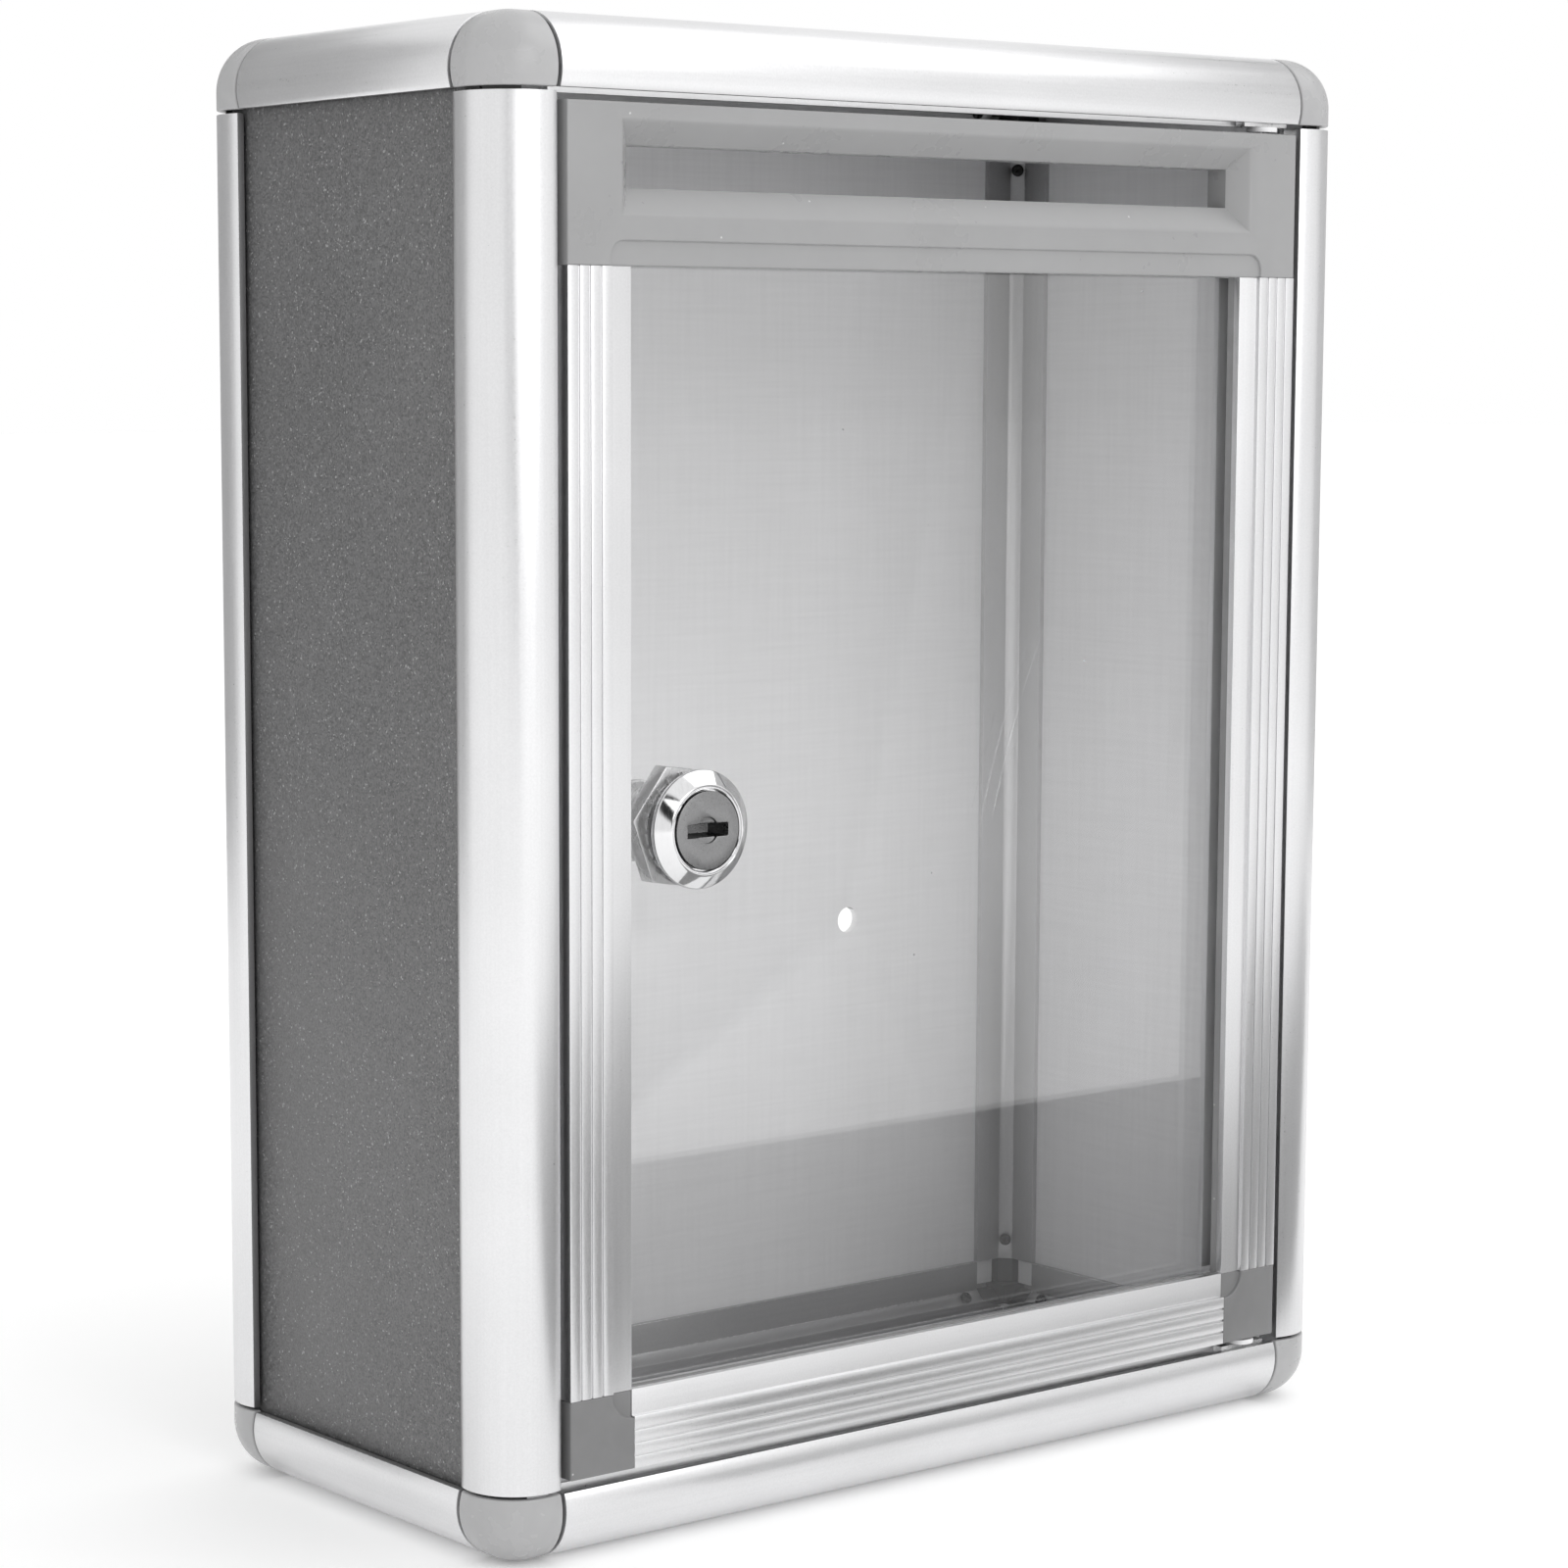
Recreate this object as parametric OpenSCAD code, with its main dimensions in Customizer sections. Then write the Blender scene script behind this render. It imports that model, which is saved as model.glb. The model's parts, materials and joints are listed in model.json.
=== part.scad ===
// Donation box: aluminium edge profiles on corner connectors, sheet panels, and a
// clear door with a posting slot and a cam lock. The origin is at the centre of the
// footprint, +Z is up and the door faces -Y.

/* [Box] */
// Width across the outer faces of the edge profiles
box_w = 212; // [200:1:260]
// Depth across the outer faces of the edge profiles
box_d = 96; // [90:1:140]
// Height
box_h = 275; // [250:1:360]

/* [Edge profile] */
// Radius of the rounded outer skin
skin_r = 10; // [9:0.5:10.5]
// Distance from an outer face to the lip of the skin
lip_at = 13.4; // [13:0.1:14]
// Thickness of the skin
skin_t = 1.3; // [1.1:0.1:1.4]
// Depth of the inner flange's face under the outer face
flange_at = 5.6; // [5.4:0.1:5.8]
// Thickness of the inner flange
flange_t = 1.2; // [1:0.1:1.3]
// Leg of the chamfer where the two inner flanges meet
chamfer = 2.15; // [2:0.05:2.4]

/* [Panels] */
// Thickness of the sheet panels
panel_t = 1.8; // [1.5:0.1:1.9]
// Radius of the two wall-fixing holes in the back panel
wall_hole_r = 2.75; // [2:0.25:3]
// Half the distance between the wall-fixing holes
wall_hole_x = 53.6; // [40:0.2:70]
// Height of the wall-fixing holes
wall_hole_z = 95; // [80:1:120]

/* [Door] */
// Gap between the door and the lips on each side
side_gap = 1.8; // [1.5:0.1:2]
// Gap between the door and the lips at top and bottom
end_gap = 2.1; // [2:0.1:2.5]
// Width of the door's frame profile
frame_w = 14.5; // [14:0.1:15]
// Width of its grooved band
band_w = 9.7; // [9.5:0.1:10]
// Depth of the frame
frame_t = 6; // [5.5:0.1:6]
// Thickness of the pane
pane_t = 3; // [2.5:0.1:3]
// Height of the slot moulding
mould_h = 28.2; // [26:0.1:32]
// Height of the posting slot
slot_h = 7.5; // [6:0.5:9]
// Width of the posting slot
slot_w = 150; // [120:1:152]

/* [Lock] */
// Distance of the lock from the middle of the door
lock_x = 58.4; // [56:0.1:59]
// Height of the lock
lock_z = 130.7; // [100:0.1:180]
// Radius of the bezel
bezel_r = 10.9; // [10:0.1:12]
// Radius of the threaded barrel
barrel_r = 7.3; // [7:0.1:7.6]

/* [Hidden] */
$fn = 64;
EPS = 0.01;

// Frame
cap_rim = lip_at + 0.1;              // where a corner cap ends
profile_end = 14.2;                  // where a profile starts, past the seam
flange_end = flange_at + chamfer + 6.4;
wall_at = 7.15;                      // side walls of the profile's inner channel
wall_t = 1.0;
cap_t = 1.6;
fit_gap = 0.1;
core_size = 8.4;                     // the connector's middle block
leg_side = wall_at - fit_gap;
leg_end = 24;
screw_at = 18.6;                     // from the box's end face to a frame screw
screw_r = 0.8;
screw_head_r = 1.3;
screw_head_t = 0.9;
screw_tip = 5.9;                     // measured along the profile's diagonal
screw_fit = 0.05;
screw_cross = [1.5, 0.3, 0.5];       // a frame screw's cross recess
strip_diag = (2 * flange_at + chamfer) / sqrt(2);

// Panels
panel_back_at = flange_at - flange_t;
panel_edge = 8.6;

// Door
front_y = -box_d / 2;
door_x = box_w / 2 - lip_at - side_gap;
door_low = lip_at + end_gap;
door_top = box_h - lip_at - end_gap;
mould_low = door_top - mould_h;
strip_set = 0.9;                     // step from the grooved band to the plain strip
strip_t = 1.5;
gasket_t = 2;
pane_set = strip_set + strip_t + gasket_t;
rear_lip_t = 1.2;
rear_set = pane_set + pane_t + 0.2;  // front of the lip behind the pane
frame_deep = rear_set + rear_lip_t;
frame_wall = 1.2;
pane_inset = band_w + 0.5;           // from the door's edge to the pane's edge
groove_pitch = band_w / 4;
groove_w = 0.4;
groove_deep = 0.3;
notch_r = 5;                         // round notch of a corner piece
spigot = 7;
pane_seat = 0.2;                     // play of the pane in a corner piece
gasket_lap = 0.3;                    // gasket that shows past the frame
pane_top_gap = 0.4;
arch_x = 81.4;                       // half width of the moulding's lower arch
arch_h = 4.4;
mould_strip_set = 0.7;
mouth_w = 158;
mouth_low = mould_low + 8.2;
mouth_high = door_top - 2.4;
throat_low = mould_low + 13.6;
funnel_deep = 4;
pocket_w = 27;                       // pockets in the back of the slot moulding
pocket_pitch = 30;
pocket_set = 4.8;
pocket_low = [1.8, 5];               // where a row starts, past its wall, and its height
pocket_high = [2, 3.2];

// Hinge
pivot_x = 84;
pivot_y = front_y + 3;
pin_r = 1.5;
pin_fit = 0.05;
pin_reach = 7.5;
tongue = [12, 2.35, 4.5];            // the pin's flat root, held in the profile's groove
washer_r = 3;
washer_t = 1;
washer_gap = 0.3;

// Lock, with depths measured back from the front face
pane_front = pane_set;
pane_back = pane_set + pane_t;
bezel_front = 1.4;
rim_r = 8.2;
plug_face_r = 7.2;
plug_r = 5.95;
plug_gap = 0.05;
plug_face_t = 1.5;
plug_set = 1.3;
bezel_band = 1.1;
recess_gap = 0.3;                    // gap round the plug's face
plug_seat = 0.2;
barrel_end = 21.4;
barrel_flat = 6.6;
pane_hole_gap = 0.2;
lock_washer_r = bezel_r - 0.6;
lock_washer_t = 0.4;
lock_washer_gap = 0.15;
nut_gap = 0.05;
nut_t = 3.5;
nut_r = 12.3;
nut_turn = 8.7;                      // how the nut happens to stand
cam_gap = 0.3;
cam_t = 1.5;
cam_front = barrel_end + cam_gap;
cam_hub_r = 7.6;
cam_reach = 39.5;
cam_in = 1.8;                        // blade edge nearest to the axis
cam_out = 9.4;
cam_lip_front = 13.8;
cam_lip_start = 10;
shank = 6;
shank_gap = 0.05;
key_slot = [9.4, 2.4, 6];
key_dish_r = 2.4;
key_dish_deep = 0.6;
bolt_r = 1.6;
bolt_deep = 7;
bolt_head_r = 3.2;
bolt_head_t = 2;
bolt_washer_r = 4.6;
bolt_washer_t = 0.8;
bolt_cross = [4, 0.8, 1];

// Keeper: an angle on the front left post, with a catch plate in front of the turned cam
keeper_t = 1.4;
keeper_play = 0.6;
keeper_low = 126;
keeper_h = 22;
keeper_deep = 5.2;
keeper_reach = 8;
keeper_x = -box_w / 2 + flange_at;
keeper_back = cam_lip_front - keeper_play;
rivet_r = 1.1;
rivet_head_r = 1.7;
rivet_head_t = 0.7;
rivet_inset = 4;

module mirror_x(on) { if (on) mirror([1, 0, 0]) children(); else children(); }
module mirror_y(on) { if (on) mirror([0, 1, 0]) children(); else children(); }
module mirror_z(on) { if (on) translate([0, 0, box_h]) mirror([0, 0, 1]) children(); else children(); }

// Puts children drawn at a bare outer corner, which is at the origin and opens
// towards +X +Y +Z, at the box's corner on the sides sx, sy and sz.
module at_corner(sx, sy, sz) {
    mirror_z(sz > 0) mirror_y(sy > 0) mirror_x(sx > 0)
        translate([-box_w / 2, -box_d / 2, 0]) children();
}

// Turns children drawn along Z so that they run along the named axis.
module along(axis) {
    if (axis == "z") children();
    if (axis == "x") rotate([90, 0, 90]) children();
    if (axis == "y") rotate([90, 0, 90]) rotate([90, 0, 90]) children();
}

// A line on a profile's diagonal, at the given place along it.
module on_diagonal(at) { translate([0, 0, at]) rotate([0, 0, 45]) rotate([0, 90, 0]) children(); }

// Edge profile: rounded skin, inner channel and the two flanges behind the panels.
module profile_section() {
    strip_out = 2 * flange_at + chamfer;
    strip_in = strip_out - wall_t * sqrt(2);
    difference() {
        intersection() {
            translate([skin_r, skin_r]) circle(r = skin_r);
            square(lip_at);
        }
        translate([skin_r, skin_r]) circle(r = skin_r - skin_t);
    }
    for (m = [0, 1]) mirror([m, -m]) {
        difference() {
            translate([wall_at, 0]) square([wall_t, flange_at]);
            translate([0, -skin_r]) square([box_h, skin_r + skin_t]);
        }
        translate([wall_at, flange_at - flange_t]) square([flange_end - wall_at, flange_t]);
    }
    intersection() {
        polygon([[strip_in, 0], [strip_out, 0], [0, strip_out], [0, strip_in]]);
        translate([flange_at - flange_t, flange_at - flange_t]) square(chamfer + flange_t);
    }
}

module profile(length) {
    difference() {
        translate([0, 0, profile_end]) linear_extrude(length - 2 * profile_end) profile_section();
        for (at = [screw_at, length - screw_at]) on_diagonal(at)
            translate([0, 0, strip_diag - 2 * wall_t]) cylinder(r = screw_r + screw_fit, h = 3 * wall_t);
    }
}

module post(sx, sy) {
    color("#b4b7bb") difference() {
        at_corner(sx, sy, -1) along("z") profile(box_h);
        if (sx < 0 && sy < 0)
            rivet_axes() translate([0, 0, -2 * flange_t])
                cylinder(r = rivet_r + screw_fit, h = 3 * flange_t);
    }
}

module rail_wide(sy, sz) { color("#b4b7bb") at_corner(-1, sy, sz) along("x") profile(box_w); }
module rail_deep(sx, sz) { color("#b4b7bb") at_corner(sx, -1, sz) along("y") profile(box_d); }

// Ball with three stubs, which carries a profile's round skin round a corner.
module ball(r, stub = skin_r) {
    translate([skin_r, skin_r, skin_r]) {
        sphere(r = r);
        for (axis = ["x", "y", "z"]) along(axis) cylinder(r = r, h = stub);
    }
}

module corner_cap(sx, sy, sz) {
    color("#a6a9ad") at_corner(sx, sy, sz) difference() {
        intersection() {
            ball(skin_r);
            cube(cap_rim);
        }
        ball(skin_r - cap_t);
    }
}

module leg_section() {
    reach = 2 * flange_at + chamfer - (wall_t + fit_gap) * sqrt(2);
    intersection() {
        square(leg_side);
        polygon([[0, 0], [reach, 0], [0, reach]]);
    }
}

module corner_core(sx, sy, sz) {
    color("#2e2f31") at_corner(sx, sy, sz) difference() {
        intersection() {
            ball(skin_r - cap_t - fit_gap, leg_end);
            union() {
                cube(core_size);
                for (axis = ["x", "y", "z"]) along(axis) linear_extrude(leg_end) leg_section();
            }
        }
        for (axis = ["x", "y", "z"]) along(axis)
            on_diagonal(screw_at) translate([0, 0, screw_tip - fit_gap])
                cylinder(r = screw_r + screw_fit, h = core_size);
    }
}

// Cross recess cut down from the top face of a screw's head, which lies at z = 0.
module cross_recess(size) {
    for (turn = [0, 90]) rotate([0, 0, turn])
        translate([-size.x / 2, -size.y / 2, -size.z]) cube(size + [0, 0, size.z]);
}

module profile_screws(length) {
    for (at = [screw_at, length - screw_at]) on_diagonal(at) {
        translate([0, 0, screw_tip]) cylinder(r = screw_r, h = strip_diag - screw_tip + EPS);
        difference() {
            translate([0, 0, strip_diag]) cylinder(r = screw_head_r, h = screw_head_t);
            translate([0, 0, strip_diag + screw_head_t]) cross_recess(screw_cross);
        }
    }
}

module frame_screws() {
    color("#1c1c1e") for (a = [-1, 1], b = [-1, 1]) {
        at_corner(a, b, -1) along("z") profile_screws(box_h);
        at_corner(-1, a, b) along("x") profile_screws(box_w);
        at_corner(a, -1, b) along("y") profile_screws(box_d);
    }
}

module panel(width, height) { cube([width - 2 * panel_edge, panel_t, height - 2 * panel_edge]); }

module panel_back() {
    color("#8d9094") difference() {
        translate([-box_w / 2 + panel_edge, box_d / 2 - panel_back_at, panel_edge]) panel(box_w, box_h);
        for (sx = [-1, 1])
            translate([sx * wall_hole_x, box_d / 2, wall_hole_z]) rotate([90, 0, 0])
                cylinder(r = wall_hole_r, h = 2 * flange_at);
    }
}

module panel_side(sx) {
    color("#6b6d70") mirror_x(sx > 0)
        translate([-box_w / 2 + panel_back_at - panel_t, -box_d / 2 + panel_edge, panel_edge])
            cube([panel_t, box_d - 2 * panel_edge, box_h - 2 * panel_edge]);
}

module panel_flat(sz) {
    color("#6b6d70") mirror_z(sz > 0)
        translate([-box_w / 2 + panel_edge, -box_d / 2 + panel_edge, panel_back_at - panel_t])
            cube([box_w - 2 * panel_edge, box_d - 2 * panel_edge, panel_t]);
}

// Lower hinge pin: a flat root in the bottom rail's groove and a round pivot above it.
module pin_shape() {
    translate([pivot_x - tongue.x / 2, front_y + panel_back_at - tongue.y, flange_end - tongue.z])
        cube(tongue);
    translate([pivot_x, pivot_y, flange_end]) cylinder(r = pin_r, h = door_low - flange_end + pin_reach);
}

module hinge_pin(sz) { color("#c9cbce") mirror_z(sz > 0) pin_shape(); }

module hinge_washers() {
    color("#e8e8e8") for (sz = [-1, 1]) mirror_z(sz > 0)
        translate([pivot_x, pivot_y, door_low - washer_gap - washer_t]) difference() {
            cylinder(r = washer_r, h = washer_t);
            translate([0, 0, -1]) cylinder(r = pin_r + pin_fit, h = washer_t + 2);
        }
}

// Door frame profile: x runs in from the door's edge and y runs back from its face.
module frame_section() {
    difference() {
        union() {
            square([band_w, frame_t]);
            translate([band_w - EPS, strip_set]) square([frame_w - band_w + EPS, strip_t]);
            translate([band_w - frame_wall, frame_t - EPS]) square([frame_wall, frame_deep - frame_t + EPS]);
            translate([band_w - frame_wall, rear_set]) square([frame_w - band_w, rear_lip_t]);
        }
        translate([frame_wall, frame_wall])
            square([band_w - 2 * frame_wall, frame_t - 2 * frame_wall]);
        for (i = [1, 2, 3])
            translate([i * groove_pitch - groove_w / 2, -EPS]) square([groove_w, groove_deep + EPS]);
    }
}

module door_stile(sx) {
    color("#b9bcc0") mirror_x(sx > 0) translate([-door_x, front_y, door_low + frame_w])
        linear_extrude(mould_low - door_low - frame_w) frame_section();
}

module door_rail() {
    color("#b9bcc0") translate([-door_x + frame_w, front_y, door_low])
        rotate([90, 0, 90]) linear_extrude(2 * (door_x - frame_w)) mirror([1, -1]) frame_section();
}

// Solid bar that fills the hollow of the door frame profile.
module spigot_bar(length) {
    side = [band_w - 2 * frame_wall - 2 * fit_gap, frame_t - 2 * frame_wall - 2 * fit_gap];
    translate([frame_wall + fit_gap, frame_wall + fit_gap, 0]) cube([side.x, side.y, length]);
}

module corner_piece() {
    difference() {
        cube([frame_w, frame_t, frame_w]);
        translate([frame_w, -1, frame_w]) rotate([-90, 0, 0]) cylinder(r = notch_r, h = 1 + strip_set);
        translate([pane_inset - pane_seat, strip_set + strip_t, pane_inset - pane_seat])
            cube(frame_w);
    }
    translate([0, 0, frame_w - EPS]) spigot_bar(spigot);
    translate([frame_w - EPS, 0, 0]) rotate([90, 0, 90]) mirror([1, -1, 0]) spigot_bar(spigot);
}

module door_corner_left() {
    color("#8f9296") translate([-door_x, front_y, door_low]) corner_piece();
}

module pivot_bore() {
    translate([pivot_x, pivot_y, door_low - 1]) cylinder(r = pin_r + pin_fit, h = pin_reach + 2);
}

module door_corner_right() {
    color("#8f9296") difference() {
        mirror([1, 0, 0]) translate([-door_x, front_y, door_low]) corner_piece();
        pivot_bore();
    }
}

// Tapered mouth and straight throat of the posting slot.
module slot_cut() {
    far = frame_deep + 2;
    intersection() {
        translate([0, front_y, 0]) linear_extrude(box_h) polygon([
            [-mouth_w / 2, 0], [mouth_w / 2, 0], [slot_w / 2, funnel_deep], [slot_w / 2, far],
            [-slot_w / 2, far], [-slot_w / 2, funnel_deep]]);
        translate([-box_w / 2, front_y, 0]) rotate([90, 0, 90]) linear_extrude(box_w) polygon([
            [0, mouth_low], [0, mouth_high], [funnel_deep, throat_low + slot_h], [far, throat_low + slot_h],
            [far, throat_low], [funnel_deep, throat_low]]);
    }
    translate([-mouth_w / 2, front_y - 1, mouth_low]) cube([mouth_w, 1 + EPS, mouth_high - mouth_low]);
}

module slot_moulding() {
    arch_top = mould_low + arch_h;
    inner_x = door_x - band_w;
    color("#9a9da1") difference() {
        union() {
            translate([-door_x, front_y, arch_top]) cube([2 * door_x, frame_t, door_top - arch_top]);
            for (sx = [-1, 1]) mirror_x(sx > 0)
                translate([-door_x, front_y, mould_low]) cube([door_x - arch_x, frame_t, arch_h + EPS]);
            translate([-arch_x - EPS, front_y + mould_strip_set, mould_low])
                cube([2 * arch_x + 2 * EPS, strip_set + strip_t - mould_strip_set, arch_h + EPS]);
            translate([-inner_x, front_y + frame_t - EPS, arch_top])
                cube([2 * inner_x, frame_deep - frame_t + EPS, door_top - arch_top]);
            translate([-inner_x, front_y + rear_set, mould_low + pane_top_gap])
                cube([2 * inner_x, rear_lip_t, arch_h]);
        }
        slot_cut();
        mirror_z(true) pivot_bore();
        for (i = [-2 : 2]) translate([i * pocket_pitch - pocket_w / 2, front_y + pocket_set, 0]) {
            translate([0, 0, arch_top + pocket_low[0]]) cube([pocket_w, frame_deep, pocket_low[1]]);
            translate([0, 0, throat_low + slot_h + pocket_high[0]])
                cube([pocket_w, frame_deep, pocket_high[1]]);
        }
    }
    color("#9a9da1") for (sx = [-1, 1]) mirror_x(sx > 0)
        translate([-door_x, front_y, mould_low - spigot]) spigot_bar(spigot + EPS);
}

module pane_gasket() {
    low = door_low + frame_w - gasket_lap;
    edge = door_x - frame_w + gasket_lap;
    outer_x = door_x - pane_inset;
    outer_low = door_low + pane_inset;
    color("#5d5f62") translate([0, front_y + strip_set + strip_t, 0]) difference() {
        translate([-outer_x, 0, outer_low])
            cube([2 * outer_x, gasket_t, mould_low + arch_h - pane_top_gap - outer_low]);
        translate([-edge, -1, low]) cube([2 * edge, gasket_t + 2, mould_low + gasket_lap - low]);
    }
}

module door_pane() {
    outer_x = door_x - pane_inset;
    outer_low = door_low + pane_inset;
    color("#dfe8ea") difference() {
        translate([-outer_x, front_y + pane_set, outer_low])
            cube([2 * outer_x, pane_t, mould_low + arch_h - pane_top_gap - outer_low]);
        lock_axis() translate([0, 0, pane_set - 1])
            cylinder(r = barrel_r + pane_hole_gap, h = pane_t + 2);
    }
}

// Draws children along +Z as the lock's axis, running back from the door's face.
module lock_axis() { translate([-lock_x, front_y, lock_z]) rotate([-90, 0, 0]) children(); }

module lock_housing() {
    seat = plug_set + plug_face_t + plug_seat;
    band_front = pane_front - bezel_band;
    color("#d5d7da") lock_axis() difference() {
        union() {
            translate([0, 0, band_front]) cylinder(r = bezel_r, h = bezel_band);
            translate([0, 0, bezel_front])
                cylinder(r1 = rim_r, r2 = bezel_r, h = band_front - bezel_front + EPS);
            intersection() {
                translate([0, 0, pane_front]) cylinder(r = barrel_r, h = barrel_end - pane_front);
                translate([-barrel_flat, -barrel_r, 0]) cube([2 * barrel_flat, 2 * barrel_r, barrel_end]);
            }
        }
        translate([0, 0, bezel_front - 1])
            cylinder(r = plug_face_r + recess_gap, h = seat - bezel_front + 1);
        cylinder(r = plug_r + plug_gap, h = barrel_end + 1);
    }
}

module lock_washer() {
    color("#c4c6c9") lock_axis() translate([0, 0, pane_back]) difference() {
        cylinder(r = lock_washer_r, h = lock_washer_t);
        translate([0, 0, -1]) cylinder(r = barrel_r + lock_washer_gap, h = lock_washer_t + 2);
    }
}

module lock_nut() {
    color("#aeb0b3") lock_axis() translate([0, 0, pane_back + lock_washer_t]) difference() {
        rotate([0, 0, nut_turn]) cylinder(r = nut_r, h = nut_t, $fn = 6);
        translate([0, 0, -1]) cylinder(r = barrel_r + nut_gap, h = nut_t + 2);
    }
}

module lock_plug() {
    end = cam_front + cam_t;
    color("#98999c") lock_axis() difference() {
        union() {
            translate([0, 0, plug_set]) cylinder(r = plug_face_r, h = plug_face_t);
            translate([0, 0, plug_set + plug_face_t - EPS])
                cylinder(r = plug_r, h = barrel_end - plug_set - plug_face_t);
            translate([-shank / 2, -shank / 2, barrel_end - 1]) cube([shank, shank, end - barrel_end + 1]);
        }
        translate([-key_slot.x / 2, -key_slot.y / 2, plug_set - 1])
            cube([key_slot.x, key_slot.y, key_slot.z + 1]);
        translate([0, 0, plug_set - 1]) cylinder(r = key_dish_r, h = 1 + key_dish_deep);
        translate([0, 0, end - bolt_deep - 1]) cylinder(r = bolt_r + shank_gap, h = bolt_deep + 2);
    }
}

// Cam: a round hub and a blade that hangs down, with a lip bent forward on its outer edge.
module lock_cam() {
    color("#b9bbbe") lock_axis() difference() {
        union() {
            translate([0, 0, cam_front]) cylinder(r = cam_hub_r, h = cam_t);
            translate([-cam_out, 0, cam_front]) cube([cam_out - cam_in, cam_reach, cam_t]);
            translate([-cam_out, cam_lip_start, cam_lip_front])
                cube([cam_t, cam_reach - cam_lip_start, cam_front + cam_t - cam_lip_front]);
        }
        translate([-shank / 2 - shank_gap, -shank / 2 - shank_gap, cam_front - 1])
            cube([shank + 2 * shank_gap, shank + 2 * shank_gap, cam_t + 2]);
    }
}

module cam_bolt() {
    start = cam_front + cam_t;
    head = start + bolt_washer_t;
    color("#c9cbce") lock_axis() difference() {
        union() {
            translate([0, 0, start]) cylinder(r = bolt_washer_r, h = bolt_washer_t);
            translate([0, 0, head - EPS]) cylinder(r = bolt_head_r, h = bolt_head_t + EPS);
            translate([0, 0, start - bolt_deep]) cylinder(r = bolt_r, h = bolt_deep + EPS);
        }
        translate([0, 0, head + bolt_head_t]) cross_recess(bolt_cross);
    }
}

// The keeper rivets' axes: children are drawn along Z, which points into the box from the
// inner face of the post's flange.
module rivet_axes() {
    for (z = [keeper_low + rivet_inset, keeper_low + keeper_h - rivet_inset])
        translate([keeper_x, front_y + keeper_back - keeper_t - keeper_deep / 2 + keeper_t / 2, z])
            rotate([0, 90, 0]) children();
}

module lock_keeper() {
    color("#b9bbbe") difference() {
        translate([keeper_x, front_y + keeper_back - keeper_deep, keeper_low]) union() {
            cube([keeper_t, keeper_deep, keeper_h]);
            translate([0, keeper_deep - keeper_t, 0]) cube([keeper_reach, keeper_t, keeper_h]);
        }
        rivet_axes() translate([0, 0, -1]) cylinder(r = rivet_r + screw_fit, h = keeper_t + 2);
    }
}

module keeper_rivets() {
    color("#c9cbce") rivet_axes() {
        translate([0, 0, -flange_t]) cylinder(r = rivet_r, h = flange_t + keeper_t + EPS);
        translate([0, 0, keeper_t]) cylinder(r = rivet_head_r, h = rivet_head_t);
    }
}

post(-1, -1);  // post_front_left
post(1, -1);  // post_front_right
post(-1, 1);  // post_rear_left
post(1, 1);  // post_rear_right
rail_wide(-1, 1);  // rail_top_front
rail_wide(1, 1);  // rail_top_rear
rail_deep(-1, 1);  // rail_top_left
rail_deep(1, 1);  // rail_top_right
rail_wide(-1, -1);  // rail_bottom_front
rail_wide(1, -1);  // rail_bottom_rear
rail_deep(-1, -1);  // rail_bottom_left
rail_deep(1, -1);  // rail_bottom_right
corner_cap(-1, -1, 1);  // cap_top_front_left
corner_cap(1, -1, 1);  // cap_top_front_right
corner_cap(-1, 1, 1);  // cap_top_rear_left
corner_cap(1, 1, 1);  // cap_top_rear_right
corner_cap(-1, -1, -1);  // cap_bottom_front_left
corner_cap(1, -1, -1);  // cap_bottom_front_right
corner_cap(-1, 1, -1);  // cap_bottom_rear_left
corner_cap(1, 1, -1);  // cap_bottom_rear_right
corner_core(-1, -1, 1);  // core_top_front_left
corner_core(1, -1, 1);  // core_top_front_right
corner_core(-1, 1, 1);  // core_top_rear_left
corner_core(1, 1, 1);  // core_top_rear_right
corner_core(-1, -1, -1);  // core_bottom_front_left
corner_core(1, -1, -1);  // core_bottom_front_right
corner_core(-1, 1, -1);  // core_bottom_rear_left
corner_core(1, 1, -1);  // core_bottom_rear_right
frame_screws();
panel_side(-1);  // panel_left
panel_side(1);  // panel_right
panel_back();
panel_flat(1);  // panel_top
panel_flat(-1);  // panel_bottom
hinge_pin(1);  // hinge_pin_top
hinge_pin(-1);  // hinge_pin_bottom
hinge_washers();
door_stile(-1);  // door_stile_left
door_stile(1);  // door_stile_right
door_rail();
door_corner_left();
door_corner_right();
slot_moulding();
pane_gasket();
door_pane();
lock_housing();
lock_washer();
lock_nut();
lock_plug();
lock_cam();
cam_bolt();
lock_keeper();
keeper_rivets();
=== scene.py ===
"""Donation box: aluminium edge profiles, sheet panels and a clear door with a posting slot and a cam lock."""

import json
import math

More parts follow.
